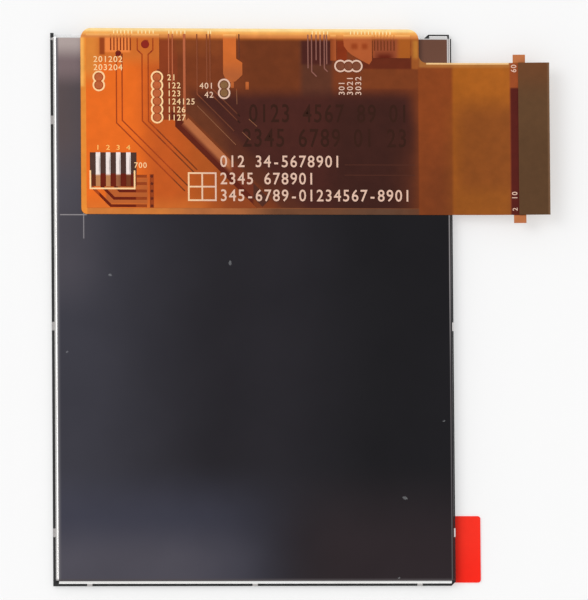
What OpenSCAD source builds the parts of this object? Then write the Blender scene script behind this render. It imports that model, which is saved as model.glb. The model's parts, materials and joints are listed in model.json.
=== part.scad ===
// Small display module, lying on its picture side with its back up. A glass pair sits
// in a black moulded frame under a folded steel tray. The flexible circuit is bonded to
// the glass ledge, rolls over the top edge, lies on the tray and leaves to the right.
// Origin: centre of the outline, on the lowest face. X to the right, Y to the fold, Z up.

/* [Picture and glass] */
// Width of the picture area
picture_w = 43.2; // [38:0.1:50]
// Length of the picture area
picture_l = 57.6; // [50:0.1:66]
// Glass beyond the picture on the left and right
glass_side = 1.85; // [1.6:0.05:3]
// Glass beyond the picture at the bottom
glass_bottom = 2.1; // [1.9:0.05:3]
// Glass beyond the picture at the top, where the ledge is
glass_top = 5.4; // [5.2:0.05:8]
// Thickness of the front glass that carries the picture layer
array_t = 0.5; // [0.3:0.05:0.7]
// Thickness of the rear glass
cover_t = 0.5; // [0.4:0.05:0.7]
// Distance of the rear glass in from the front glass's edges
cover_inset = 0.2; // [0:0.05:0.3]
// Rear glass beyond the picture at the top
cover_over = 1.75; // [1.7:0.05:1.85]
// Width of the seal bead between the two glasses
seal_w = 0.8; // [0.6:0.05:0.8]
// Height of the seal bead
seal_t = 0.06; // [0.06:0.01:0.12]
// Distance of the seal bead in from the rear glass's edges
seal_inset = 0.2; // [0.1:0.05:0.2]
// Picture layer beyond the picture area all round
emitter_over = 0.3; // [0.2:0.05:0.4]
// Thickness of the picture layer with its metal film
emitter_t = 0.05; // [0.04:0.01:0.05]
// Glass left between the seal bead and the hollow in the rear glass
recess_inset = 0.3; // [0.2:0.05:0.6]
// Depth of the hollow in the rear glass
recess_t = 0.3; // [0.2:0.05:0.32]
// Drying sheet's distance in from the hollow's walls
drier_inset = 1.9; // [0.5:0.1:5]
// Thickness of the drying sheet
drier_t = 0.15; // [0.1:0.01:0.18]

/* [Front face] */
// Thickness of the protective film
film_t = 0.08; // [0.05:0.01:0.15]
// Distance of the protective film in from the module's outline
film_inset = 0.15; // [0.05:0.05:0.5]
// Thickness of the polariser
polariser_t = 0.25; // [0.2:0.01:0.3]
// Polariser beyond the picture area all round
polariser_over = 1; // [0.5:0.1:1.5]
// Width of the pull tab along the module's edge
tab_w = 8.1; // [4:0.1:12]
// How far the pull tab stands out past the module's outline
tab_out = 3.15; // [2:0.05:8]
// Thickness of the pull tab
tab_t = 0.1; // [0.05:0.01:0.15]
// Pull tab's distance up from the bottom corner
tab_up = 0.4; // [0:0.1:20]
// Radius of the pull tab's corners
tab_r = 0.35; // [0.1:0.05:1.5]

/* [Frame and tray] */
// Clearance between the glass edges and the frame
glass_gap = 0.1; // [0.05:0.01:0.2]
// Thickness of the frame's upright wall
frame_wall = 0.5; // [0.4:0.05:0.8]
// Width of the frame's foot that shows outside the tray
foot_w = 0.25; // [0.2:0.05:0.8]
// Height of the frame's foot
foot_t = 0.3; // [0.2:0.05:0.5]
// Size of the chamfer on the bottom right corner of the foot
foot_chamfer = 0.5; // [0.2:0.05:0.6]
// Width of the notch in the foot at the top right corner
notch_w = 0.25; // [0.1:0.05:0.3]
// Length of the notch in the foot at the top right corner
notch_l = 0.5; // [0.2:0.05:1]
// Thickness of the steel sheet of the tray
sheet_t = 0.2; // [0.15:0.01:0.25]
// Outside radius of the tray's bends
bend_r = 0.35; // [0.3:0.01:0.45]
// Clearance between the frame's wall and the tray
tray_gap = 0.05; // [0.05:0.01:0.15]
// Length of the lugs that lap over the side feet
side_lug_l = 1.05; // [0.4:0.05:3]
// Length of the lugs that lap over the bottom foot
end_lug_l = 0.65; // [0.4:0.05:3]
// Length of the short corner lug at the top left
corner_lug_l = 0.3; // [0.2:0.05:0.6]
// Spacing of the lugs on each side
side_lug_pitch = 25.1; // [10:0.1:30]
// Middle side lug's distance below the module's centre
side_lug_drop = 2.1; // [0:0.1:5]
// Spacing of the lugs along the bottom
end_lug_pitch = 20.15; // [8:0.05:23]
// Thickness of the sticky cushion sheet under the tray
cushion_t = 0.1; // [0.05:0.01:0.3]
// Cushion sheet's distance in from the rear glass's edges
cushion_inset = 0.5; // [0.2:0.1:5]
// Slope of the frame's end beside the circuit, along X
gap_slope = 0.45; // [0:0.05:1]
// Clearance between the circuit's right edge and the frame's end
gap_side = 1.35; // [0.5:0.05:1.8]
// Width of the scribed lines on the tray
scribe_w = 0.12; // [0.08:0.01:0.2]
// Depth of the scribed lines
scribe_t = 0.03; // [0.02:0.01:0.06]
// Length of the scribed line across
scribe_across = 3.6; // [1:0.1:10]
// Length of the scribed line down
scribe_down = 3.3; // [1:0.1:10]

/* [Circuit] */
// Circuit's distance in from the front glass's left edge
flap_left = 2.45; // [2:0.05:4]
// Circuit's distance in from the front glass's right edge
flap_right = 3.05; // [2.5:0.05:5]
// Length of the folded part, from the fold's centre to its lower edge
flap_l = 22.24; // [20.5:0.02:30]
// Thickness of the circuit film
flex_t = 0.12; // [0.08:0.01:0.15]
// Thickness of the tape that holds the folded part down
tape_t = 0.06; // [0.05:0.01:0.1]
// Distance of that tape in from the circuit's edges
tape_inset = 0.6; // [0.2:0.1:3]
// Distance of the fold's centre past the tray plate's edge
fold_reach = 0.66; // [0.55:0.01:2]
// Radius of the rounded ends of the fold
fold_end_r = 1.4; // [0.5:0.1:2]
// Bonded end's distance in from the circuit's sides
bond_side = 1.45; // [1.45:0.05:5]
// Length of the bond on the glass ledge
bond_l = 1.3; // [0.8:0.05:1.4]
// Thickness of the bonding strip
bond_t = 0.05; // [0.04:0.01:0.05]
// Width of the sealing bead along the bond
bead_w = 0.25; // [0.1:0.05:0.25]
// Radius of the flap's lower left corner
flap_r = 0.7; // [0.2:0.1:2]
// Radius of the inner corner between flap and tail
inner_r = 0.9; // [0.3:0.1:2]
// Flat length of the tail past the module's outline
tail_flat = 0.05; // [0:0.05:1]
// Length of the bowed stretch of the tail
tail_bow = 7.3; // [4:0.1:15]
// Radius of that bow
bow_r = 60; // [40:1:400]
// Length of the straight end of the tail
end_l = 4.45; // [3.8:0.05:8]
// Length of the ears beside the tail's end
ear_l = 1.5; // [0.5:0.1:3]
// How far the ears stand out
ear_out = 1; // [0.3:0.1:3]
// Thickness of the stiffener on the tail's end
stiff_t = 0.2; // [0.1:0.01:0.3]
// Length of the stiffener
stiff_l = 3.8; // [3:0.1:3.8]
// Number of contacts under the tail's end
contact_count = 61; // [40:1:64]
// Spacing of the contacts
contact_pitch = 0.3; // [0.25:0.05:0.3]
// Width of a contact
contact_w = 0.2; // [0.1:0.01:0.24]
// Length of a contact
contact_l = 3.4; // [2:0.1:3.6]
// Thickness of a contact
contact_t = 0.05; // [0.03:0.01:0.08]

/* [Driver chip] */
// Length of the driver chip
chip_l = 20; // [12:0.1:30]
// Width of the driver chip
chip_w = 1.2; // [0.8:0.05:1.25]
// Height of the driver chip
chip_t = 0.35; // [0.2:0.01:0.4]
// Clearance from the rear glass to the chip
chip_gap = 0.7; // [0.2:0.05:0.75]

/* [Copper and marking] */
// Height of the copper under its cover film
copper_t = 0.03; // [0.02:0.01:0.06]
// Clear film left at the circuit's edges
art_margin = 0.5; // [0.2:0.05:1]
// Width of the thin gaps that part the tracks
slot_w = 0.16; // [0.1:0.01:0.3]
// Width of the wide gap beside the supply band
wide_slot_w = 0.6; // [0.3:0.05:1]
// Width of the supply band
band_w = 1.27; // [0.6:0.01:1.6]
// Number of pads in the jumper window
jumper_count = 4; // [2:1:6]
// Spacing of the jumper pads
jumper_pitch = 1.235; // [0.9:0.005:1.6]
// Width of a jumper pad
jumper_w = 0.55; // [0.3:0.05:0.7]
// Length of a jumper pad
jumper_l = 4.15; // [2:0.05:5]
// Height of a jumper pad with its tin
jumper_t = 0.06; // [0.04:0.01:0.1]
// Radius of a test pad
pad_r = 0.46; // [0.3:0.01:0.48]
// Spacing of the test pads
pad_pitch = 0.98; // [0.97:0.01:1.3]
// Thickness of the marking ink
ink_t = 0.02; // [0.02:0.01:0.04]
// Width of the marking lines
ink_w = 0.2; // [0.1:0.01:0.3]
// Side of the square stamp box
box_side = 3.5; // [2:0.1:5]

/* [Hidden] */
$fn = 48;

// Plan sizes, from the picture outwards. [x0, y0, x1, y1] boxes, about the origin.
rim = glass_gap + frame_wall + tray_gap + sheet_t + foot_w;
half_w = picture_w / 2 + glass_side + rim;
half_l = (picture_l + glass_bottom + glass_top) / 2 + rim;
picture_y = (glass_bottom - glass_top) / 2;
picture = [-picture_w / 2, picture_y - picture_l / 2, picture_w / 2, picture_y + picture_l / 2];
outline = [-half_w, -half_l, half_w, half_l];
glass = grow(outline, -rim);
cover = [glass[0] + cover_inset, glass[1] + cover_inset, glass[2] - cover_inset,
    picture[3] + cover_over];
tray = grow(outline, -foot_w);
plate = grow(tray, -bend_r);

// Heights, from the table up
polariser_z = film_t;
glass_z = polariser_z + polariser_t;
ledge_z = glass_z + array_t;
cover_z = ledge_z + seal_t;
cushion_z = cover_z + cover_t;
plate_z = cushion_z + cushion_t;
back_z = plate_z + sheet_t;
flap_z = back_z + tape_t;
art_z = flap_z + flex_t;
lower_z = ledge_z + bond_t;
lug_z = glass_z + foot_t;

// Folded circuit
flap_x0 = glass[0] + flap_left;
flap_x1 = glass[2] - flap_right;
fold_y = plate[3] + fold_reach;
flap_y = fold_y - flap_l;
fold_r = (art_z - lower_z) / 2;
fold_z = (art_z + lower_z) / 2;
tail_w = (contact_count + 1) * contact_pitch;
tail_x = half_w + tail_flat;
bow_angle = tail_bow / bow_r * 180 / PI;
bow_steps = 24;
flap_top = fold_y + fold_r;
bond_x0 = flap_x0 + bond_side;
bond_x1 = flap_x1 - bond_side;

// The frame and the tray's wall are open along the top, where the circuit comes out
gap_left = plate[0] - sheet_t;
gap_right = flap_x1 + gap_side;

// Copper plan: u from the circuit's left edge or back from its right edge, v up from its
// lower edge, both less art_at. What belongs to the fold is drawn for plan_top and moves
// with it by art_up. Tracks drop from the fold at u and turn at v to 45 degrees.
art_at = [0.15, 0.26];
art_top = flap_l - art_at[1] - art_margin / 2;
plan_top = 21.73;
art_up = art_top - plan_top;
pour_right = 9.45;
pour_step = [11.65, 10.55];
pour_foot = 11.25;
slot_runs = [[4.2, 10.85, 8.3], [4.9, 11.15, 7.95], [7.35, 11.1, 6.3], [8.1, 11.05, 5.9]];
slot_top = 19.3;
comb_count = 7;
comb_pitch = 0.4;
comb_left = [3.45, 19.7];
comb_right = [-5.35, 19.8];
comb_drop = 1.95;
key_hole = [7.73, 20.45];
key_r = 0.5;
key_gap = [[0.95, 0.78], [0.95, -0.7], [0.375, -1.25]];
blob = [4.45, 19.35];
blob_r = 0.35;
riser_u = 12.5;
riser_w = 0.3;
track_w = 0.14;
tracks_left = [[10.6, 16.9, 0], [11.05, 15.9, 0], [14.05, 14.4, 4.5], [15.25, 14.9, 4],
    [15.65, 15.3, 3.6], [19.2, 18.75, 0]];
tracks_right = [[-13.45, 17.6, 0], [-13, 17.2, 0.6], [-12.45, 18.6, 0], [-11.95, 17.9, 0],
    [-11.45, 17.6, 0.4], [-11.15, 18.1, 0]];
island_left = [[17.25, 16.9], [17.45, 16.4], [18.15, 15.85], [18.75, 15.95], [19.6, 16.75],
    [19.6, 18.25], [18.85, 18.75]];
islands_right = [[[-10.7, 18.55], [-10, 18.55]],
    [[-9.1, 21.1], [-9.05, 20.35], [-8.55, 19.65], [-8.05, 19.25], [-6.9, 18.6],
        [-5.95, 18.1], [-5.6, 18.6]],
    [[-5.45, 18.9], [-0.9, 18.9]]];
jumper = [1.9, 3.1];
jumper_side = 1;
fan_w = 0.34;
fan_pitch = 0.9;
fan_low = 0.75;
fan_starts = [3.45, 3.85, 4.55, 6.5, 6.5];
fan_end = 7.85;
via_u = 8.45;
via_r = 0.17;
via_gap = 0.08;
via_box = [via_u, fan_low, via_u, fan_low + (len(fan_starts) - 1) * fan_pitch];
pads_low = [[9.15, 11.55, 6, 0], [2.05, 15.45, 2, 0]];
pads_high = [[17.35, 14.55, 2, 0]];
pads_right = [[-9.48, 17.9, 3, 1]];
ink_gap = 0.1;
bracket = [[0.95, 2.85], [6.35, 2.85], [0, 2.2]];
box_at = [12.85, 1.35];

// Scribed lines, from the flap's lower left corner
scribe_in = 0.22;
scribe_drop = 0.14;
scribe_up = 0.28;
// How far a cutting shape runs past what it cuts
past = 1;

function grow(b, d) = [b[0] - d, b[1] - d, b[2] + d, b[3] + d];
function inset(b, d) = grow(b, -d);
function unit(v) = v / norm(v);
function turn(v) = [-v[1], v[0]];
function dir_in(p, i) = unit(p[max(i, 1)] - p[max(i, 1) - 1]);
function dir_out(p, i) = let (j = min(i, len(p) - 2)) unit(p[j + 1] - p[j]);
// Point i of a path, moved sideways by s with mitred corners
function beside(p, i, s) =
    let (a = dir_in(p, i), b = dir_out(p, i))
    p[i] + s * (turn(a) + turn(b)) / (1 + a * b);
// Path of a track that drops from the fold and runs off at 45 degrees
function drop_path(u, v, run) =
    run > 0 ? [[u, plan_top], [u, v], [u + run, v - run]] : [[u, plan_top], [u, v]];

module slab(b, z, t) {
    translate([b[0], b[1], z]) cube([b[2] - b[0], b[3] - b[1], t]);
}

module box_2d(b) {
    translate([b[0], b[1]]) square([b[2] - b[0], b[3] - b[1]]);
}

module ring(b, w, z, t) {
    translate([0, 0, z]) linear_extrude(t) difference() {
        box_2d(b);
        box_2d(inset(b, w));
    }
}

// A flat line of even width along a path
module line_2d(p, w) {
    n = len(p);
    polygon([for (i = [0:n - 1]) beside(p, i, w / 2),
        for (i = [n - 1:-1:0]) beside(p, i, -w / 2)]);
}

module protective_film() {
    color([0.85, 0.9, 0.95, 0.4]) slab(inset(outline, film_inset), 0, film_t);
}

// Stuck to the film's margin outside the polariser, and sticking out at the side
module pull_tab() {
    x0 = picture[2] + polariser_over + film_inset;
    x1 = half_w + tab_out;
    y0 = -half_l + tab_up;
    color([0.98, 0.15, 0.11]) translate([0, 0, film_t]) linear_extrude(tab_t) {
        box_2d([x0, y0, x1 - tab_r, y0 + tab_w]);
        box_2d([x1 - 2 * tab_r, y0 + tab_r, x1, y0 + tab_w - tab_r]);
        for (y = [y0 + tab_r, y0 + tab_w - tab_r])
            translate([x1 - tab_r, y]) circle(tab_r);
    }
}

module polariser() {
    color([0.09, 0.1, 0.12]) slab(grow(picture, polariser_over), polariser_z, polariser_t);
}

// What the frame leaves open for the circuit along the top
module circuit_gap_2d() {
    polygon([[gap_left, glass[3]], [gap_right - gap_slope, glass[3]],
        [gap_right - gap_slope, tray[3] - bend_r + sheet_t], [gap_right, half_l],
        [gap_right, half_l + foot_w], [gap_left, half_l + foot_w]]);
}

module frame_outline_2d() {
    c = foot_chamfer;
    difference() {
        box_2d(outline);
        polygon([[half_w - c, -half_l], [half_w + c, -half_l - c], [half_w + c, -half_l + c],
            [half_w, -half_l + c]]);
        box_2d([half_w - notch_w, half_l - notch_l, half_w + notch_w, half_l + notch_l]);
        circuit_gap_2d();
    }
}

// Foot all round under the tray's walls, and an upright wall between tray and glass
module moulded_frame() {
    wall = inset(tray, sheet_t + tray_gap);
    color([0.06, 0.06, 0.07]) {
        translate([0, 0, glass_z]) linear_extrude(foot_t) difference() {
            frame_outline_2d();
            box_2d(grow(glass, glass_gap));
        }
        translate([0, 0, lug_z]) linear_extrude(cushion_z - lug_z) difference() {
            box_2d(wall);
            box_2d(grow(glass, glass_gap));
            circuit_gap_2d();
        }
    }
}

module array_glass() {
    color([0.75, 0.85, 0.85, 0.5]) slab(glass, glass_z, array_t);
}

module picture_layer() {
    color([0.2, 0.2, 0.24]) slab(grow(picture, emitter_over), ledge_z, emitter_t);
}

module seal_bead() {
    color([0.85, 0.8, 0.65]) ring(inset(cover, seal_inset), seal_w, ledge_z, seal_t);
}

function recess() = inset(cover, seal_inset + seal_w + recess_inset);

module cover_glass() {
    color([0.7, 0.82, 0.82, 0.5]) difference() {
        slab(cover, cover_z, cover_t);
        slab(recess(), cover_z - recess_t, 2 * recess_t);
    }
}

// Stuck to the roof of the hollow in the rear glass
module drying_sheet() {
    color([0.92, 0.92, 0.9])
        slab(inset(recess(), drier_inset), cover_z + recess_t - drier_t, drier_t);
}

module cushion_sheet() {
    color([0.15, 0.15, 0.15]) slab(inset(cover, cushion_inset), cushion_z, cushion_t);
}

// Section of a bend from the plate down into a wall, with the wall's foot at z0
module wall_section_2d() {
    translate([0, plate_z - (bend_r - sheet_t)]) intersection() {
        difference() {
            circle(bend_r);
            circle(bend_r - sheet_t);
        }
        square(bend_r);
    }
    translate([bend_r - sheet_t, lug_z])
        square([sheet_t, back_z - bend_r - lug_z]);
}

// A bent wall of length l along the plate's edge, facing the direction at angle a
module tray_wall(start, l, a) {
    translate(start) rotate([90, 0, a]) linear_extrude(l) wall_section_2d();
}

// A lug that laps from the wall's foot over the frame's foot, centred at p
module lug(p, l, along_y) {
    size = along_y ? [foot_w + sheet_t, l, sheet_t] : [l, foot_w + sheet_t, sheet_t];
    translate([p[0], p[1], lug_z]) translate([-size[0] / 2, -size[1] / 2, 0]) cube(size);
}

// One steel sheet: plate, four bent walls with open corners, and lugs over the foot
module rear_tray() {
    lug_x = half_w - (foot_w + sheet_t) / 2;
    lug_y = half_l - (foot_w + sheet_t) / 2;
    color([0.25, 0.25, 0.28]) {
        difference() {
            slab(plate, plate_z, sheet_t);
            scribes();
        }
        tray_wall([plate[2], plate[3]], plate[3] - plate[1], 0);
        tray_wall([plate[0], plate[1]], plate[3] - plate[1], 180);
        tray_wall([plate[2], plate[1]], plate[2] - plate[0], -90);
        tray_wall([gap_right, plate[3]], plate[2] - gap_right, 90);
        for (k = [-1:1], s = [-1, 1])
            lug([s * lug_x, k * side_lug_pitch - side_lug_drop], side_lug_l, true);
        lug([-lug_x, plate[3] - corner_lug_l / 2], corner_lug_l, true);
        for (k = [-1:1])
            lug([k * end_lug_pitch, -lug_y], end_lug_l, false);
    }
}

// Two shallow lines that mark where the flap's lower left corner belongs
module scribes() {
    x = flap_x0 + scribe_in;
    low = flap_y - scribe_drop;
    top = flap_y + scribe_up;
    for (b = [[plate[0], low, plate[0] + scribe_across, low + scribe_w],
        [x, top - scribe_down, x + scribe_w, top]])
        slab(b, back_z - scribe_t, 2 * scribe_t);
}

module driver_chip() {
    y = cover[3] + chip_gap;
    color([0.2, 0.2, 0.22]) slab([-chip_l / 2, y, chip_l / 2, y + chip_w], ledge_z, chip_t);
}

module bond_strip() {
    color([0.55, 0.5, 0.35])
        slab([bond_x0, glass[3] - bond_l, bond_x1, glass[3]], ledge_z, bond_t);
}

// Clear bead that closes the circuit's end on the ledge
module ledge_bead() {
    y = glass[3] - bond_l;
    color([0.8, 0.8, 0.75, 0.7])
        slab([bond_x0, y - bead_w, bond_x1, y], ledge_z, bond_t + flex_t);
}

module flap_tape() {
    color([0.95, 0.95, 0.9])
        slab([flap_x0 + tape_inset, flap_y + tape_inset, flap_x1 - tape_inset, plate[3]],
            back_z, tape_t);
}

module flap_2d() {
    r = flap_r;
    top = flap_top;
    er = fold_end_r;
    translate([flap_x0 + r, flap_y + r]) circle(r);
    box_2d([flap_x0 + r, flap_y, flap_x1, flap_y + r]);
    box_2d([flap_x0, flap_y + r, flap_x1, top - er]);
    box_2d([flap_x0 + er, top - er, flap_x1 - er, top]);
    for (x = [flap_x0 + er, flap_x1 - er]) translate([x, top - er]) circle(er);
}

// Flat start of the tail, with the rounded inner corner to the flap
module tail_root_2d() {
    y = flap_y + tail_w;
    box_2d([flap_x1 - flap_r, flap_y, tail_x, y]);
    difference() {
        box_2d([flap_x1, y, flap_x1 + inner_r, y + inner_r]);
        translate([flap_x1 + inner_r, y + inner_r]) circle(inner_r);
    }
}

// Point of the tail in side view: s along it, h above its lower face
function tail_point(s, h) =
    let (a = min(s, tail_bow) / bow_r * 180 / PI, r = bow_r + flex_t / 2 - h)
    [tail_x + r * sin(a), flap_z + bow_r + flex_t / 2 - r * cos(a)]
        + max(s - tail_bow, 0) * [cos(bow_angle), sin(bow_angle)];

// A layer that follows the tail from s0 to s1, between heights h0 and h1 and from y0 to y1
module tail_layer(s0, s1, h0, h1, y0, y1) {
    bow = [for (k = [0:bow_steps]) tail_bow * k / bow_steps];
    stops = concat([s0], [for (s = bow) if (s > s0 && s < s1) s], [s1]);
    n = len(stops);
    translate([0, y1, 0]) rotate([90, 0, 0]) linear_extrude(y1 - y0)
        polygon([for (i = [0:n - 1]) tail_point(stops[i], h0),
            for (i = [n - 1:-1:0]) tail_point(stops[i], h1)]);
}

// The free tail: bowed, then straight, with an ear on each side where it straightens
module tail() {
    end = tail_bow + end_l;
    ear = [tail_point(tail_bow, 0)[0], tail_point(tail_bow + ear_l, 0)[0]];
    difference() {
        tail_layer(0, end, 0, flex_t, flap_y - ear_out, flap_y + tail_w + ear_out);
        for (y = [flap_y - 2 * ear_out, flap_y + tail_w]) {
            slab([tail_x - past, y, ear[0], y + 2 * ear_out], 0, bow_r);
            slab([ear[1], y, ear[1] + end, y + 2 * ear_out], 0, bow_r);
        }
    }
}

module flex_circuit() {
    color([0.75, 0.42, 0.12]) {
        translate([0, 0, flap_z]) linear_extrude(flex_t) {
            intersection() {
                flap_2d();
                box_2d([flap_x0, flap_y, flap_x1, fold_y]);
            }
            tail_root_2d();
        }
        intersection() {
            translate([0, fold_y, fold_z]) rotate([90, 0, 90])
                translate([0, 0, flap_x0]) linear_extrude(flap_x1 - flap_x0) intersection() {
                    difference() {
                        circle(fold_r);
                        circle(fold_r - flex_t);
                    }
                    translate([0, -fold_r]) square(2 * fold_r);
                }
            translate([0, 0, lower_z - flex_t]) linear_extrude(3 * fold_r) flap_2d();
        }
        slab([bond_x0, glass[3] - bond_l, bond_x1, fold_y], lower_z, flex_t);
        tail();
    }
}

module tail_stiffener() {
    end = tail_bow + end_l;
    color([0.37, 0.28, 0.18])
        tail_layer(end - stiff_l, end, flex_t, flex_t + stiff_t, flap_y, flap_y + tail_w);
}

module tail_contacts() {
    end = tail_bow + end_l;
    color([0.9, 0.72, 0.3])
        for (k = [0:contact_count - 1]) {
            y = flap_y + (k + 1) * contact_pitch - contact_w / 2;
            tail_layer(end - contact_l, end, -contact_t, 0, y, y + contact_w);
        }
}

// Draws flat shapes of the copper plan as a layer of thickness t
module on_flap(t, lift = 0, right = false, high = false) {
    x = right ? flap_x1 - art_at[0] : flap_x0 + art_at[0];
    y = flap_y + art_at[1] + (high ? art_up : 0);
    translate([x, y, art_z + lift]) linear_extrude(t) children();
}

// Gaps between the tracks that fan out under the jumper window
module fan_slots_2d() {
    for (k = [0:len(fan_starts) - 1]) {
        u = fan_starts[k];
        v = fan_low + k * fan_pitch;
        fall = jumper[1] + slot_w - v;
        line_2d(fall > 0 ? [[u - fall, v + fall], [u, v], [fan_end, v]] : [[u, v], [fan_end, v]],
            fan_w);
    }
}

module comb_2d(at) {
    for (k = [0:comb_count - 1])
        translate([at[0] + k * comb_pitch, at[1]]) square([slot_w, comb_drop]);
}

module jumper_window_2d() {
    box_2d([jumper[0] - jumper_side, jumper[1],
        jumper[0] + (jumper_count - 1) * jumper_pitch + jumper_side,
        jumper[1] + jumper_l]);
}

// Broad copper on the left, parted by the gaps of the tracks that cross it
module copper_pour() {
    foot = art_margin;
    slope_end = pour_step[0] + pour_step[1] - foot;
    column = pads_low[0];
    column_top = column[1] + column[2] * pad_pitch;
    color([0.93, 0.45, 0.12]) on_flap(copper_t) difference() {
        polygon([[art_margin, foot], [slope_end, foot], pour_step,
            [pour_step[0], pour_foot], [column[0], pour_foot], [column[0], column_top],
            [pour_right, column_top], [pour_right, art_top], [art_margin, art_top]]);
        line_2d([pour_step + [0, past], pour_step, [slope_end, foot],
            [slope_end + past, foot - past]], wide_slot_w);
        for (s = slot_runs)
            line_2d([[s[0], slot_top + art_up], [s[0], s[1]], [s[0] + s[2], s[1] - s[2]]], slot_w);
        translate([0, art_up]) {
            for (s = [-1, 1])
                line_2d([for (p = key_gap) key_hole + [s * p[0], p[1]]], slot_w);
            translate(key_hole) circle(key_r);
            translate(blob) circle(blob_r);
            comb_2d(comb_left);
        }
        jumper_window_2d();
        fan_slots_2d();
        box_2d(grow(via_box, via_r + via_gap));
        pad_clear_2d(pads_low);
    }
}

// Wide track that drops from the fold beside the pour and runs off at 45 degrees
module supply_band() {
    shift = (wide_slot_w + band_w) / 2 * sqrt(2);
    start = [riser_u, pour_step[0] + pour_step[1] + shift - riser_u];
    length = start[1] - art_margin - band_w / 2;
    color([0.72, 0.37, 0.2]) on_flap(copper_t) {
        line_2d([[riser_u, art_top], start], riser_w);
        line_2d([start, start + [length, -length]], band_w);
    }
}

module tracks_2d(runs) {
    for (t = runs) line_2d(drop_path(t[0], t[1], t[2]), track_w);
}

module signal_tracks() {
    color([0.55, 0.33, 0.22]) {
        on_flap(copper_t, high = true) tracks_2d(tracks_left);
        on_flap(copper_t, right = true, high = true) tracks_2d(tracks_right);
    }
}

// Copper between the fold and the lower edge p
module island_2d(p) {
    polygon(concat([[p[0][0], plan_top]], p, [[p[len(p) - 1][0], plan_top]]));
}

module copper_islands() {
    color([0.8, 0.4, 0.14]) {
        on_flap(copper_t, high = true) difference() {
            island_2d(island_left);
            pad_clear_2d(pads_high);
        }
        on_flap(copper_t, right = true, high = true) difference() {
            for (p = islands_right) island_2d(p);
            comb_2d(comb_right);
            pad_clear_2d(pads_right);
        }
    }
}

module via_row() {
    color([0.45, 0.2, 0.1]) on_flap(copper_t)
        for (v = [via_box[1]:fan_pitch:via_box[3] + via_r])
            translate([via_u, v]) circle(via_r);
}

module jumper_pads() {
    color([0.93, 0.92, 0.9]) on_flap(jumper_t)
        for (k = [0:jumper_count - 1])
            translate([jumper[0] + k * jumper_pitch - jumper_w / 2, jumper[1]])
                square([jumper_w, jumper_l]);
}

// Centres of the pads of one group: g is [u, v, count, 1 for a row or 0 for a column]
function pad_centres(g) =
    [for (k = [0:g[2] - 1]) [g[0], g[1]] + k * pad_pitch * (g[3] == 1 ? [1, 0] : [0, 1])];

// The scalloped outline of each group, over about each pad
module pads_2d(groups, over = 0) {
    for (g = groups, c = pad_centres(g)) translate(c) circle(pad_r + over);
}

module pad_clear_2d(groups) {
    pads_2d(groups, slot_w / 2);
}

module test_pads() {
    color([0.72, 0.42, 0.32]) {
        on_flap(copper_t) pads_2d(pads_low);
        on_flap(copper_t, high = true) pads_2d(pads_high);
        on_flap(copper_t, right = true, high = true) pads_2d(pads_right);
    }
}

// Printed line round each group of pads
module pad_lines_2d(groups) {
    difference() {
        pads_2d(groups, ink_gap + ink_w);
        pads_2d(groups, ink_gap);
    }
}

module marking_ink() {
    cell = (box_side - ink_w) / 2;
    b = bracket;
    color([1, 0.82, 0.62]) {
        on_flap(ink_t, copper_t, true, true) pad_lines_2d(pads_right);
        on_flap(ink_t, copper_t, high = true) pad_lines_2d(pads_high);
        on_flap(ink_t, copper_t) {
            pad_lines_2d(pads_low);
            line_2d([b[0] + b[2], b[0], b[1], b[1] + b[2]], ink_w);
            translate(box_at) difference() {
                square(box_side);
                for (i = [0, 1], j = [0, 1])
                    translate([ink_w + i * cell, ink_w + j * cell]) square(cell - ink_w);
            }
        }
    }
}

protective_film();
pull_tab();
polariser();
moulded_frame();
array_glass();
picture_layer();
seal_bead();
drying_sheet();
cover_glass();
cushion_sheet();
rear_tray();
driver_chip();
bond_strip();
ledge_bead();
flap_tape();
flex_circuit();
tail_stiffener();
tail_contacts();
copper_pour();
supply_band();
signal_tracks();
copper_islands();
via_row();
jumper_pads();
test_pads();
marking_ink();
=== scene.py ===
import json
import math

import bmesh
import bpy
from mathutils import Euler, Matrix, Vector


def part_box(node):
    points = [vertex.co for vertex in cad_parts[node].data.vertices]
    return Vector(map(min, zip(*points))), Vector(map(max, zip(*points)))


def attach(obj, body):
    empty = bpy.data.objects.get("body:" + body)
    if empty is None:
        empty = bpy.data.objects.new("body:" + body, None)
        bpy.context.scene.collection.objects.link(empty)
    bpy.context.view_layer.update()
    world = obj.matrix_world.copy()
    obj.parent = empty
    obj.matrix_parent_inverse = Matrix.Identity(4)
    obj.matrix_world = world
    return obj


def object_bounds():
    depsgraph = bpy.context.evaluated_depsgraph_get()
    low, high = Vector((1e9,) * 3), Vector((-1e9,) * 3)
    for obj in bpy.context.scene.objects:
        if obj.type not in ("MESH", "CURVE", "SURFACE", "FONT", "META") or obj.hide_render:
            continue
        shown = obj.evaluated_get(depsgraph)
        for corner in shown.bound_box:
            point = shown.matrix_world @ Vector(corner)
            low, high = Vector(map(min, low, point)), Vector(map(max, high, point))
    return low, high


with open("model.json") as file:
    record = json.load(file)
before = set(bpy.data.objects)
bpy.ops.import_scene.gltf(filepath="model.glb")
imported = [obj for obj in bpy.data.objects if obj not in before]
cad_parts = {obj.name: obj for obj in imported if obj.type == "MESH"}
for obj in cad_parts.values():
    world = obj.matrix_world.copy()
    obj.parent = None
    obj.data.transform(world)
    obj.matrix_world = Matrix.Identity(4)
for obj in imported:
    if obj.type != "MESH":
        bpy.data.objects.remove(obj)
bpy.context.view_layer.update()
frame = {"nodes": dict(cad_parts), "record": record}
nodes = frame["nodes"]
scene = bpy.context.scene
MM = 0.001

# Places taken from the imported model
back_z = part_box("flap_tape")[0].z                # the steel back, under the tape
copper_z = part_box("copper_pour")[1].z            # the copper's upper face
first_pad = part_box("jumper_pads")[0].x / MM      # left side of the first jumper pad, in mm
board_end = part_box("tail_stiffener")[1].x / MM   # outer end of the stiffener, in mm

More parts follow.
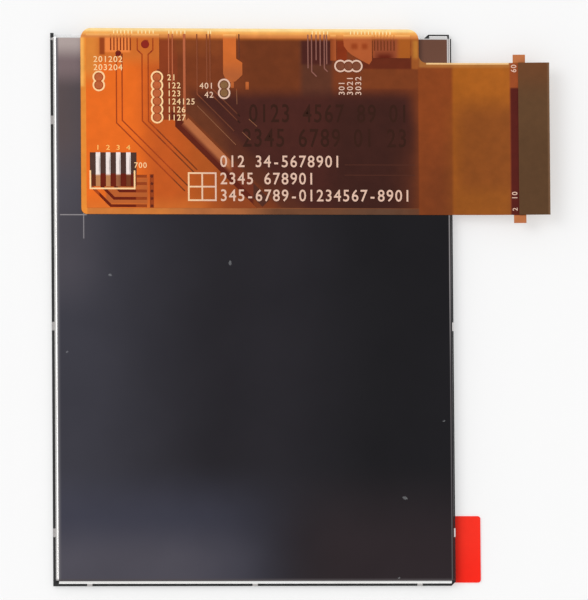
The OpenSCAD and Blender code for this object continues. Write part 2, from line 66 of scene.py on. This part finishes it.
# Jumper pads, as the part's source has them, in mm
PAD_COUNT = 4
PAD_PITCH = 1.235
PAD_WIDTH = 0.55

# Prints and specks, in mm
INK_HEIGHT = 0.02
FAINT_HEIGHT = 0.003
LEAD_HEIGHT = 0.01
OVER_FILM = 0.001      # keeps a print's foot just clear of the film's face
ROW_CAP = 1.48         # height of the figures in the three long rows, and one figure to the next
ROW_PITCH = 1.07
LABEL_CAP = 0.75       # the same for small labels
LABEL_PITCH = 0.6
PIN_CAP = 0.68         # for the pin numbers on the tail
PIN_PITCH = 0.52
FAINT_CAP = 2.3        # for the figures that show through
FAINT_PITCHES = (1.32, 1.36)
DUST_SIZE = 0.6        # length of a speck before it is scaled at random

# Proportions of the built-in typeface
CAP_SHARE = 0.73       # a figure's height, as a share of the text size
WIDTH_SHARE = 0.62     # a figure's width, as a share of its height
BOLDER = 0.012         # how far the strokes are thickened, as a share of the height
PITCH_FILL = 0.78      # how much of its pitch a figure fills


# ---- Colours and materials

def rgb(code):
    """Linear colour of an sRGB hex code."""
    parts = [int(code[i:i + 2], 16) / 255 for i in (0, 2, 4)]
    return (*[c / 12.92 if c <= 0.04045 else ((c + 0.055) / 1.055) ** 2.4 for c in parts], 1)


def add(tree, kind, inputs=None, **settings):
    """Adds a node with its settings, and links or values for its inputs."""
    made = tree.nodes.new(kind)
    for name, value in settings.items():
        setattr(made, name, value)
    for name, value in (inputs or {}).items():
        if isinstance(value, bpy.types.NodeSocket):
            tree.links.new(value, made.inputs[name])
        else:
            made.inputs[name].default_value = value
    return made


def area(tree, axes, sides, soft, strength=1.0):
    """The strength inside the stated sides, 0 outside, with edges of width soft in millimetres.

    A side may give its own softness after its two ends.
    """
    amount = strength
    for axis, (lo, hi, *own) in sides.items():
        half = (own or [soft])[0] / 2
        for edge, before, after in ((lo, 0.0, 1.0), (hi, 1.0, 0.0)):
            if edge is None:
                continue
            step = add(tree, "ShaderNodeMapRange", {
                "Value": axes[axis], "From Min": edge - half, "From Max": edge + half,
                "To Min": before, "To Max": after}, interpolation_type="SMOOTHSTEP").outputs[0]
            amount = add(tree, "ShaderNodeMath", {0: amount, 1: step}, operation="MULTIPLY").outputs[0]
    return amount


def painted(name, base, layers=(), grain=None, rough=0.4, metal=0.0, **more):
    """Principled material: a base colour, softly bounded areas of other colours, and a grain.

    A layer is (colour, sides, soft) or (colour, sides, soft, strength). Its sides are limits in mm
    on x, y, z or s = x + y. A grain is (size in mm, how much darker and lighter it makes the colour).
    """
    mat = bpy.data.materials.new(name)
    mat.use_nodes = True
    tree = mat.node_tree
    tree.nodes.clear()
    place = add(tree, "ShaderNodeTexCoord").outputs["Object"]
    mm = add(tree, "ShaderNodeVectorMath", {0: place, "Scale": 1 / MM}, operation="SCALE").outputs[0]
    axes = dict(zip("xyz", add(tree, "ShaderNodeSeparateXYZ", {0: mm}).outputs))
    axes["s"] = add(tree, "ShaderNodeMath", {0: axes["x"], 1: axes["y"]}).outputs[0]
    changes = [(area(tree, axes, *shape), rgb(code), "MIX") for code, *shape in layers]
    if grain:
        size, depth = grain
        noise = add(tree, "ShaderNodeTexNoise", {"Vector": mm, "Scale": 1 / size, "Detail": 3.0}).outputs[0]
        # The noise mostly lies between 0.3 and 0.7
        value = add(tree, "ShaderNodeMapRange", {
            "Value": noise, "From Min": 0.3, "From Max": 0.7,
            "To Min": 1 - depth, "To Max": 1 + depth}).outputs[0]
        grey = add(tree, "ShaderNodeCombineXYZ", {0: value, 1: value, 2: value}).outputs[0]
        changes.append((1.0, grey, "MULTIPLY"))
    colour = rgb(base)
    for amount, other, how in changes:
        colour = add(tree, "ShaderNodeMix", {0: amount, 6: colour, 7: other},
                     data_type="RGBA", blend_type=how).outputs[2]
    shader = add(tree, "ShaderNodeBsdfPrincipled", {
        "Base Color": colour, "Roughness": rough, "Metallic": metal, **more})
    add(tree, "ShaderNodeOutputMaterial", {"Surface": shader.outputs[0]})
    return mat


# Smooth sheet steel, painted with the reflections it shows: nearly black on the flat back, bright on the
# bends and walls
steel = painted("tray_steel", "312f34", [
    # Painted reflections on the flat back, lighter to the left and warmer to the right
    ("47464f", {"x": (None, -13.5)}, 21),
    ("272629", {"x": (9, None)}, 14),
    ("5c5860", {"x": (None, -20), "y": (2, None)}, 8, 0.8),
    ("4a4a58", {"x": (None, 0, 18), "y": (None, -22)}, 8, 0.8),
    ("5c5963", {"x": (None, -3, 16), "y": (None, -28)}, 6, 0.9),
    ("3c3336", {"x": (5, None), "y": (None, -24)}, 12, 0.8),
    # Strip beside the circuit, with a painted reflection that grows paler towards the top, and the corner
    # behind the tail
    ("675a5b", {"x": (None, -20.5), "y": (18, None)}, 8),
    ("8c797b", {"x": (None, -20.5), "y": (28, None)}, 3),
    ("c6b6b2", {"x": (None, -20.5), "y": (31.2, None)}, 2.5),
    ("7e5748", {"x": (20.5, None), "y": (29, None)}, 1.5),
    # Two scribed lines
    ("aaa4a6", {"x": (-23.6, -20.35), "y": (11.33, 11.45)}, 0.05),
    ("9c979a", {"x": (-20.78, -20.66), "y": (8.5, 11.7)}, 0.05),
    # Bends on the left, at the bottom and on the right, painted with the reflections they show: white on
    # the left and at the bottom, grey on the right and lighter towards its top
    ("6c6a70", {"x": (None, -23.75)}, 0.4),
    ("c2c0be", {"x": (None, -24.0)}, 0.4),
    ("5c5658", {"y": (None, -32.9)}, 0.4),
    ("fffefc", {"y": (None, -33.12)}, 0.08),
    ("6f6a6c", {"x": (23.94, 24.1)}, 0.06),
    ("b3adae", {"x": (23.94, 24.1), "y": (-2, None, 14)}, 0.06, 0.8),
    # Walls, the upper right corner and the top edge, painted bright with the reflections they show
    ("e8e4e2", {"x": (24.293, None)}, 0.01),
    ("c8c4c2", {"y": (None, -33.42)}, 0.02),
    ("efe8e6", {"x": (23.9, None), "y": (29.5, None)}, 0.08),
    ("efedec", {"y": (32.95, None)}, 0.1),
    ("b9b5b4", {"x": (None, -24.33)}, 0.02)],
    grain=(9.0, 0.06), rough=0.22, metal=1.0)

# Little gloss, as films and prints have under soft light
dull = {"Specular IOR Level": 0.1}

# Amber polyimide film: dark where it lies bare on the steel back, and painted gold where light comes
# through it
film = painted("amber_film", "793819", [
    # Orange beside the copper on the left, browner in the middle
    ("a84418", {"x": (None, -9.8)}, 0.8),
    ("86391a", {"x": (-11.7, -9.2), "y": (20, None)}, 0.3, 0.9),
    ("84401c", {"x": (-9.6, -3.6), "y": (31, None)}, 1.6),
    ("6e3417", {"x": (-1.5, 6.4), "y": (25.5, None)}, 3.0),
    ("5c3120", {"x": (5.9, 9.8), "y": (25.5, None)}, 1.0),
    ("4a1f18", {"x": (6.0, 9.7), "y": (29.8, None)}, 0.5),
    # Dark field right of the slanting supply band
    ("66331c", {"s": (15.7, None), "x": (-9.4, 10), "y": (None, 25.6)}, 0.6),
    ("56291a", {"s": (15.7, None), "x": (-3.5, 19.9), "y": (None, 23)}, 2.5),
    ("472019", {"s": (18.6, None), "x": (None, 19.5), "y": (None, 26.3)}, 2.2),
    ("3c1c15", {"x": (9.5, 19.3), "y": (None, 25.8)}, 4),
    # Steps of brown near the fold's right end
    ("7a3a19", {"x": (13.4, 20.4), "y": (26.9, 29.3)}, 0.4),
    ("662712", {"x": (13.4, 19.7), "y": (29.3, 30.9)}, 0.3),
    ("84300f", {"x": (10.3, 11.6), "y": (30.2, None)}, 0.3),
    ("a05220", {"x": (17.6, None), "y": (30.9, None)}, 0.4),
    ("9c5422", {"x": (19.5, None), "y": (29.3, None)}, 0.3),
    ("b8742c", {"x": (19.7, None), "y": (30.6, None)}, 0.6),
    # Painted highlight: the first faint brightening towards the fold
    ("a5571f", {"y": (32.8, None)}, 0.5),
    # Gap beside the supply band
    ("5e1f10", {"s": (12.4, 14.2), "x": (-10, 0), "y": (None, 26)}, 0.4),
    # Window of the jumper pads and the tracks under it
    ("4d332b", {"x": (-20.2, -14.2), "y": (14.9, 19.2)}, 0.2),
    ("62260f", {"x": (-20.2, -14.2), "y": (14.9, 16.3)}, 0.3),
    ("6a1c08", {"x": (-18.8, -14.3), "y": (12.25, 16.4)}, 0.2),
    ("984018", {"x": (-14.3, -11.8), "y": (12.25, 16.4)}, 0.2),
    # Key-hole shaped pad and the comb near the fold
    ("8a2418", {"x": (-13.9, -12.3), "y": (31.2, 33.2)}, 0.2),
    ("6a1812", {"x": (-17, -15.8), "y": (30.6, 31.7)}, 0.2),
    ("8a3614", {"x": (-18.6, -14.8), "y": (31.3, 33)}, 0.3),
    # Lower and left edges of the flap
    ("d07a36", {"y": (None, 12.22), "x": (None, 24)}, 0.1),
    ("b0683a", {"y": (None, 12.22), "x": (-9, 24, 6)}, 0.1),
    ("6e442c", {"y": (None, 12.22), "x": (0, 24, 7)}, 0.1),
    ("60402e", {"y": (None, 12.22), "x": (12, 24, 8)}, 0.1),
    ("e78c34", {"x": (None, -20.28)}, 0.1),
    ("ffbc60", {"x": (None, -20.6), "y": (27, None)}, 0.4, 0.7),
    # Tail: over the plate, past the plate with painted light coming through, its upper edge, beside the
    # stiffener, and the ears
    ("8a4118", {"x": (20.3, None)}, 0.25),
    ("6e3517", {"x": (20.3, None), "y": (None, 19)}, 9, 0.8),
    ("a85c18", {"x": (24.5, None)}, 0.5),
    ("884818", {"x": (24.5, None), "y": (None, 25)}, 4),
    ("925018", {"x": (24.7, 31.4, 1), "y": (None, 14.6)}, 3),
    ("b47438", {"x": (20.4, None), "y": (29.5, None)}, 0.4, 0.7),
    ("f6cc90", {"x": (21.3, 31.4), "y": (29.87, None)}, 0.12, 0.9),
    ("984820", {"x": (31.5, 33.0), "y": (None, 30.1)}, 0.3),
    ("541810", {"x": (31.55, 33.0), "y": (None, 27.0)}, 0.3),
    ("b86e42", {"x": (31.3, None), "y": (30.12, None)}, 0.1),
    ("b86e42", {"x": (31.3, None), "y": (None, 11.42)}, 0.1),
    # Fold, brighter as it rolls over, with a painted highlight
    ("d88444", {"y": (33.0, None), "x": (None, 21.5)}, 0.4),
    ("f6ae5a", {"y": (33.4, None), "x": (None, 21.5)}, 0.5),
    ("ffdc96", {"y": (33.8, None), "x": (None, 21.5)}, 0.4)],
    grain=(1.3, 0.08), rough=0.45, **dull)

# Copper under the amber cover film, bright orange on the left and browner to the right
copper = painted("covered_copper", "ea6c1e", [
    # Broad change from left to right and towards the flap's edges
    ("c4581d", {"x": (-13.3, None)}, 3.4),
    ("b0541d", {"x": (-8, None)}, 5),
    ("8e421c", {"x": (-4, None)}, 4),
    ("d87830", {"x": (None, -6), "y": (None, 13)}, 2.5, 0.5),
    ("cc6e2a", {"x": (None, -8), "y": (30, None)}, 2.0, 0.8),
    ("de8434", {"x": (None, -18.9, 1.4), "y": (28, None)}, 3.0),
    # Middle of the key-hole shaped pad, tracks under the jumper pads, and the comb
    ("8c2a18", {"x": (-13.25, -12.75), "y": (31.8, 32.7)}, 0.25),
    ("b05c2c", {"x": (-18, -12.9), "y": (12.7, 15.9)}, 0.4, 0.85),
    ("f08640", {"x": (-18.15, -15), "y": (31.2, 33)}, 0.3),
    ("9a4216", {"x": (-18.7, -18.05), "y": (30.9, None)}, 0.3),
    # Patches near the fold
    ("d06a2c", {"x": (-6, 0), "y": (27, None)}, 1),
    ("b45f30", {"x": (-6, 0), "y": (27, 29.5)}, 2.5),
    ("b0582c", {"x": (10, 15), "y": (27, None)}, 1),
    ("984018", {"x": (12.1, 12.9), "y": (31.7, 32.4)}, 0.5),
    ("984018", {"x": (13.4, 14.1), "y": (31.7, 32.4)}, 0.5),
    ("94482a", {"x": (14.9, None), "y": (27, None)}, 0.4),
    ("641e0c", {"x": (15.2, 17.2, 1.3), "y": (27, 31.2)}, 1.0),
    ("a8591c", {"x": (17.8, None), "y": (27, None)}, 0.8),
    # Fine tracks over the dark field
    ("8c5a3e", {"x": (-7, 3), "y": (19.5, 26.6)}, 0.1),
    ("542c20", {"x": (10, None), "y": (None, 19)}, 0.1),
    # Leads on the fold, with the same painted highlight as the film's fold
    ("d88444", {"y": (33.0, None)}, 0.4),
    ("ffbc6a", {"y": (33.3, None)}, 0.4),
    ("ffe4a8", {"y": (33.5, None)}, 0.1)],
    grain=(1.5, 0.05), rough=0.4, **dull)

# The same copper under two layers of film
dull_copper = painted("covered_copper_dull", "b8623e", [
    ("8a482c", {"x": (-7.4, None)}, 0.3),
    ("6c3a26", {"x": (-8, None), "y": (None, 25.6)}, 0.8),
    ("502a1e", {"x": (-1.8, None)}, 2),
    # Supply band, brighter along its upper side with a painted highlight
    ("70301c", {"s": (12.9, 15.9), "x": (-10, 0), "y": (None, 24)}, 0.1),
    ("b4683e", {"s": (14.0, 15.7), "x": (-10, -2.8), "y": (None, 24)}, 0.8),
    # Leads right of the middle, row of vias, and faint figures
    ("8e5c50", {"x": (6, None), "y": (26, None)}, 0.3),
    ("642414", {"x": (-13.5, -12), "y": (None, 17)}, 0.3),
    ("35190f", {"x": (-1.9, None), "y": (19.4, 25.6)}, 0.1)],
    grain=(1.2, 0.05), rough=0.45, **dull)

# Bare test pads with a thin protective coat
pad_copper = painted("bare_copper", "be6236", [
    ("85603c", {"x": (-6, 0)}, 1),
    ("7c4630", {"x": (6, None)}, 1)], grain=(0.5, 0.12), rough=0.4, **dull)

# Tinned pads, greyer on the right side of each with painted shade, the lower ends under the amber cover
# film
pad_lefts = [first_pad + PAD_PITCH * k for k in range(PAD_COUNT)]
cover_y = 16.25
tin = painted("tinned_copper", "f4e6e0", [
    *[("b8aca8", {"x": (left + 0.38, left + 0.52), "y": (16.4, 18.4, 1.2)}, 0.1) for left in pad_lefts],
    ("be8254", {"y": (None, cover_y)}, 0.3),
    ("9c6040", {"x": (first_pad + 2, None, 1.5), "y": (None, cover_y)}, 0.3),
    ("743a1e", {"x": (first_pad + 3, None, 1.0), "y": (None, cover_y)}, 0.3)],
    grain=(0.4, 0.05), rough=0.35, **dull)

# Printed ink, warmer on the orange side
ink = painted("white_ink", "e2bda8", [
    ("ffd49c", {"x": (None, -7)}, 6),
    ("ffc46c", {"x": (None, -14.4), "y": (19.2, 20.2)}, 0.3)], grain=(0.35, 0.05), rough=0.6, **dull)

# Brown polyimide board bonded on the tail's end
board = painted("stiffener_polyimide", "583c24", [
    ("684024", {"y": (27, None)}, 5),
    ("604228", {"y": (22, 27)}, 4, 0.6),
    ("7a5a40", {"x": (board_end - 0.25, None)}, 0.2, 0.7)], grain=(0.8, 0.05), rough=0.5, **dull)

# A material for each slot
skins = {
    # Clear protective sheet and specks of dust, nearly invisible but for a faint sheen
    "clear_film": painted("clear_film", "f4f7fa", grain=(2.0, 0.02), rough=0.3, Alpha=0.06),
    # Bright opaque pull tab, a little lighter at its upper half
    "red_film": painted("red_film", "fe2818", [
        ("ff3a28", {"y": (-30, None)}, 6, 0.5)], grain=(0.6, 0.015), rough=0.45, **dull),
    # Almost black sheet with a soft gloss
    "polariser_film": painted("polariser_film", "0e1012", grain=(3.0, 0.05), rough=0.15),
    # Moulded frame, slightly uneven
    "black_resin": painted("black_resin", "121214", grain=(0.3, 0.1), rough=0.45),
    # Clear glass with a hint of green at its edges
    "panel_glass": painted("panel_glass", "dfe9e6", grain=(4.0, 0.01), rough=0.02, IOR=1.5, **{
        "Transmission Weight": 1.0}),
    # Grey metal film of the picture layer
    "picture_metal": painted("picture_metal", "8c8f96", grain=(0.1, 0.03), rough=0.2, metal=1.0),
    # Cloudy cream resin
    "sealant": painted("sealant", "cfc6a8", grain=(0.5, 0.06), rough=0.5),
    # Matt off-white paper with fibres
    "drying_paper": painted("drying_paper", "e9e7e0", grain=(0.5, 0.04), rough=0.85),
    # Dark open foam
    "cushion_foam": painted("cushion_foam", "262628", grain=(0.2, 0.2), rough=0.9),
    # Ground back of a silicon chip
    "chip_silicon": painted("chip_silicon", "34363c", grain=(0.15, 0.04), rough=0.15),
    # Pressed film full of fine metal grains
    "bond_film": painted("bond_film", "8c7e58", grain=(0.1, 0.12), rough=0.5),
    # Milky double-sided tape
    "sticky_tape": painted("sticky_tape", "eeeade", grain=(0.7, 0.03), rough=0.6),
    # Plated contacts, lightly worn
    "gold_contacts": painted("gold_contacts", "e2b352", grain=(0.3, 0.05), rough=0.28, metal=1.0),
    "tray_steel": steel,
    "amber_polyimide": film,
    "stiffener_polyimide": board,
    "covered_copper": copper,
    "covered_copper_dull": dull_copper,
    "bare_copper": pad_copper,
    "tinned_copper": tin,
    "white_ink": ink}
for part in frame["record"]["subparts"]:
    skin = nodes[part["node"]].data.materials
    skin.clear()
    skin.append(skins[part["material_slot"]])


# ---- Added pieces

def piece(name, slot, mesh):
    """A finished piece of the scene, fixed to the part."""
    made = bpy.data.objects.new(name, mesh)
    scene.collection.objects.link(made)
    made.data.materials.clear()
    made.data.materials.append(skins[slot])
    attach(made, "root")
    return made


def solid_piece(name, slot, bm):
    """Turns all the faces outwards and makes one piece of them."""
    bmesh.ops.recalc_face_normals(bm, faces=bm.faces)
    mesh = bpy.data.meshes.new(name)
    bm.to_mesh(mesh)
    bm.free()
    return piece(name, slot, mesh)


def height(x, y):
    """Height of the circuit's upper face at a place in millimetres."""
    return nodes["flex_circuit"].ray_cast(Vector((x * MM, y * MM, 1)), Vector((0, 0, -1)))[1].z


def number(bm, words, x, y, cap=LABEL_CAP, pitch=LABEL_PITCH, turned=0, thick=INK_HEIGHT, follow=False):
    """Prints plain figures from x, y (mm), cap high, with one figure every pitch.

    They stand on the copper's level, or follow the film's face.
    """
    text = bpy.data.curves.new("figures", "FONT")
    text.size = cap / CAP_SHARE
    text.offset = BOLDER * cap
    # Any extrusion does, because each vertex is set to the print's foot or top below
    text.extrude = 1
    text.resolution_u = 3
    text.align_x = "CENTER"
    for i, figure in enumerate(words):
        text.body = figure
        shape = bpy.data.objects.new("figures", text)
        scene.collection.objects.link(shape)
        bpy.context.view_layer.update()
        mesh = bpy.data.meshes.new_from_object(shape.evaluated_get(bpy.context.evaluated_depsgraph_get()))
        bpy.data.objects.remove(shape)
        across = Vector(((i + 0.5) * pitch, 0, 0))
        stretch = PITCH_FILL * pitch / cap / WIDTH_SHARE
        mesh.transform(Matrix.Translation(across) @ Matrix.Diagonal((stretch, 1, 1, 1)))
        mesh.transform(Matrix.Rotation(math.radians(turned), 4, "Z"))
        for v in mesh.vertices:
            px = x + v.co.x
            py = y + v.co.y
            foot = height(px, py) + OVER_FILM * MM if follow else copper_z
            v.co = Vector((px * MM, py * MM, foot + (thick * MM if v.co.z > 0 else 0)))
        bm.from_mesh(mesh)
        bpy.data.meshes.remove(mesh)


def print_piece(name, slot, bm):
    """Joins the figures' outlines, so that each figure is closed, and makes one piece of them."""
    bmesh.ops.remove_doubles(bm, verts=bm.verts, dist=0.0001 * MM)
    return solid_piece(name, slot, bm)


def printed_numbers():
    """Rows of figures on the flap, labels beside the pads and pin numbers on the tail."""
    bm = bmesh.new()
    # Three long rows, one below the other
    for words, y in (("012 34-5678901", 17.25), ("2345 678901", 15.15), ("345-6789-01234567-8901", 13.1)):
        number(bm, words, -4.15, y, ROW_CAP, ROW_PITCH)
    # Labels beside the test pads
    for k, words in enumerate(("21", "122", "123", "124125", "1126", "1127")):
        number(bm, words, -10.5, 27.8 - 0.98 * k, pitch=0.58)
    for k, words in enumerate(("201202", "203204")):
        number(bm, words, -19.5, 30.0 - k, pitch=0.61)
    number(bm, "401", -6.55, 26.8)
    number(bm, "42", -5.95, 25.7)
    for k, words in enumerate(("301", "3021", "3032")):
        number(bm, words, 11.25 + 1.02 * k, 26.0, turned=90)
    # Numbers over the jumper pads, each over the middle of its pad, and the label beside them
    for k, left in enumerate(pad_lefts):
        number(bm, str(k + 1), left + (PAD_WIDTH - LABEL_PITCH) / 2, 19.3, cap=0.6)
    number(bm, "700", -14.6, 17.1, 0.7, 0.55)
    # Pin numbers on the tail
    for words, y in (("60", 28.85), ("10", 13.3)):
        number(bm, words, 32.3, y, PIN_CAP, PIN_PITCH, turned=90, follow=True)
    number(bm, "2", 32.3, 11.9, 0.6, 0.5, turned=90, follow=True)
    return print_piece("printed_numbers", "white_ink", bm)


def faint_figures():
    """Two rows of figures that show faintly through the dark part of the film."""
    bm = bmesh.new()
    rows = (("0123 4567 89 01", -0.6, 22.75), ("2345 6789 01 23", -1.4, 19.75))
    for (words, x, y), pitch in zip(rows, FAINT_PITCHES):
        number(bm, words, x, y, FAINT_CAP, pitch, thick=FAINT_HEIGHT, follow=True)
    return print_piece("faint_figures", "covered_copper_dull", bm)


def lines(name, runs, width):
    """Thin flat lines of covered copper along runs of points (mm), lying on the film."""
    bm = bmesh.new()
    for points in runs:
        path = [Vector(p) for p in points]
        rings = []
        for i, p in enumerate(path):
            along = (path[min(i + 1, len(path) - 1)] - path[max(i - 1, 0)]).normalized()
            off = Vector((-along.y, along.x)) * width / 2
            foot = height(*p)
            top = foot + LEAD_HEIGHT * MM
            corners = ((p + off, foot), (p - off, foot), (p - off, top), (p + off, top))
            rings.append([bm.verts.new((c.x * MM, c.y * MM, z)) for c, z in corners])
        for a, b in zip(rings, rings[1:]):
            for i in range(4):
                bm.faces.new((a[i], a[i - 1], b[i - 1], b[i]))
        bm.faces.new(rings[0])
        bm.faces.new(rings[-1][::-1])
    return solid_piece(name, "covered_copper", bm)


def fold_leads():
    """The leads that show through the film where it rolls over the edge."""
    # Each group: its first lead, how many leads, and their pitch
    groups = ((-16.94, 6, 0.44), (-13.96, 5, 0.46), (-10.2, 5, 0.49), (-5.4, 2, 0.3),
              (7.35, 5, 0.47), (12.05, 12, 0.44))
    # Closer steps where the fold turns down
    steps = [33.2, 33.4, 33.6, 33.75, 33.9]
    runs = [[(x + k * pitch, y) for y in steps] for x, count, pitch in groups for k in range(count)]
    return lines("fold_leads", runs, 0.13)


def fine_tracks():
    """Hair-thin tracks that cross the dark field, slanting on the left and level on the right."""
    return lines("fine_tracks", [
        [(-6.8, 24.7), (-2.1, 19.95)],
        [(-1.3, 21.5), (-0.3, 20.55)],
        [(-0.5, 23.1), (0.5, 22.2)],
        [(-1.98, 26.8), (-1.93, 24.9)],
        [(11.2, 17.55), (19.8, 17.55)],
        [(11.2, 16.3), (19.8, 16.3)]], 0.08)


def lead_ends():
    """Two short, wide ends of leads below the middle of the fold."""
    return lines("lead_ends", [
        [(-2.5, 27.8), (-2.5, 26.9)],
        [(-0.67, 27.65), (-0.67, 26.7)]], 0.4)


def flake(size):
    """One rough, flattened grain of dust that lies on the ground."""
    narrow = 0.6
    flat = 0.3
    bm = bmesh.new()
    bmesh.ops.create_icosphere(bm, subdivisions=1, radius=size / 2)
    bmesh.ops.transform(bm, matrix=Matrix.Diagonal((1, narrow, flat, 1)), verts=bm.verts)
    bmesh.ops.translate(bm, vec=(0, 0, size / 2 * flat), verts=bm.verts)
    mesh = bpy.data.meshes.new("flake")
    bm.to_mesh(mesh)
    bm.free()
    made = bpy.data.objects.new("flake", mesh)
    scene.collection.objects.link(made)
    return made


def scatter():
    """Geometry nodes that put a flake on each point, turned and scaled at random."""
    group = bpy.data.node_groups.new("dust", "GeometryNodeTree")
    sockets = {}
    for name, kind in (("Geometry", "Geometry"), ("Seed", "Int"), ("Flake", "Object"),
                       ("Smallest", "Float"), ("Largest", "Float")):
        sockets[name] = group.interface.new_socket(
            name, in_out="INPUT", socket_type="NodeSocket" + kind).identifier
    group.interface.new_socket("Geometry", in_out="OUTPUT", socket_type="NodeSocketGeometry")
    given = add(group, "NodeGroupInput").outputs
    turn_by = add(group, "FunctionNodeRandomValue", {
        2: 0.0, 3: 2 * math.pi, "Seed": given["Seed"]}, data_type="FLOAT").outputs[1]
    scale_by = add(group, "FunctionNodeRandomValue", {
        2: given["Smallest"], 3: given["Largest"], "Seed": given["Seed"]}, data_type="FLOAT").outputs[1]
    turned = add(group, "ShaderNodeCombineXYZ", {"Z": turn_by}).outputs[0]
    one = add(group, "GeometryNodeObjectInfo", {"Object": given["Flake"]}).outputs["Geometry"]
    placed = add(group, "GeometryNodeInstanceOnPoints", {
        "Points": given["Geometry"], "Instance": one, "Rotation": turned, "Scale": scale_by}).outputs[0]
    real = add(group, "GeometryNodeRealizeInstances", {"Geometry": placed}).outputs[0]
    coloured = add(group, "GeometryNodeSetMaterial", {
        "Geometry": real, "Material": skins["clear_film"]}).outputs[0]
    add(group, "NodeGroupOutput", {"Geometry": coloured})
    return group, sockets


def dust():
    """Specks of dust on the steel back."""
    places = [(-2.9, 5.55), (-17.55, 4.06), (23.14, -13.66),
              (-22.85, -5.31), (18.28, -23.04), (17.47, -32.76)]
    mesh = bpy.data.meshes.new("dust_places")
    mesh.from_pydata([(x * MM, y * MM, back_z) for x, y in places], [], [])
    host = bpy.data.objects.new("dust_places", mesh)
    scene.collection.objects.link(host)
    grain = flake(DUST_SIZE * MM)
    group, sockets = scatter()
    modifier = host.modifiers.new("dust", "NODES")
    modifier.node_group = group
    for name, value in (("Seed", 7), ("Flake", grain), ("Smallest", 0.6), ("Largest", 1.3)):
        modifier[sockets[name]] = value
    bpy.context.view_layer.update()
    baked = bpy.data.meshes.new_from_object(host.evaluated_get(bpy.context.evaluated_depsgraph_get()))
    bpy.data.objects.remove(host)
    bpy.data.objects.remove(grain)
    return piece("dust", "clear_film", baked)


for make in (printed_numbers, faint_figures, fold_leads, fine_tracks, lead_ends, dust):
    make()


# ---- Floor, light and camera

def lay_floor(z):
    """A sheet of matt white paper that glows a little, so that its shadows stay pale."""
    half = 1.5
    paper = painted("white_paper", "bebebe", rough=0.9, **{
        "Emission Color": (1, 1, 1, 1), "Emission Strength": 0.44})
    mesh = bpy.data.meshes.new("floor")
    mesh.from_pydata([(-half, -half, 0), (half, -half, 0), (half, half, 0), (-half, half, 0)],
                     [], [(0, 1, 2, 3)])
    mesh.materials.append(paper)
    floor = bpy.data.objects.new("floor", mesh)
    floor.location.z = z
    scene.collection.objects.link(floor)


def light_studio():
    """White surroundings, brighter on the left than on the right, and one broad, soft sun."""
    left_level = 1.25
    right_level = 0.35
    world = bpy.data.worlds.new("studio")
    world.use_nodes = True
    sky = world.node_tree
    way = add(sky, "ShaderNodeTexCoord").outputs["Generated"]
    side = add(sky, "ShaderNodeSeparateXYZ", {0: way}).outputs["X"]
    level = add(sky, "ShaderNodeMapRange", {
        "Value": side, "From Min": -1.0, "To Min": left_level, "To Max": right_level}).outputs[0]
    sky.links.new(level, sky.nodes["Background"].inputs["Strength"])
    sky.nodes["Background"].inputs["Color"].default_value = (1, 1, 1, 1)
    scene.world = world
    sun = bpy.data.lights.new("key", "SUN")
    sun.energy = 0.8
    sun.angle = math.radians(28)
    key = bpy.data.objects.new("key", sun)
    key.rotation_euler = Euler((math.radians(-14), math.radians(-38), 0))
    scene.collection.objects.link(key)


def place_camera(centre):
    """A long lens, far off, that looks down almost square to the back."""
    distance = 1300 * MM
    # The view's middle lies a little to the left of the part's, and above it
    aim = Vector((centre.x - 0.79 * MM, centre.y + 0.92 * MM, 0))
    turn = Euler([math.radians(a) for a in (4.61, -6.74, -0.43)])
    camera_data = bpy.data.cameras.new("camera")
    camera_data.sensor_width = 36
    camera_data.lens = 641.3
    camera_data.clip_end = 20
    camera = bpy.data.objects.new("camera", camera_data)
    camera.rotation_euler = turn
    camera.location = aim + distance * (turn.to_matrix() @ Vector((0, 0, 1)))
    scene.collection.objects.link(camera)
    scene.camera = camera


lowest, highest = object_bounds()
lay_floor(lowest.z - 0.02 * MM)
light_studio()
place_camera((lowest + highest) / 2)
scene.view_settings.view_transform = "Standard"
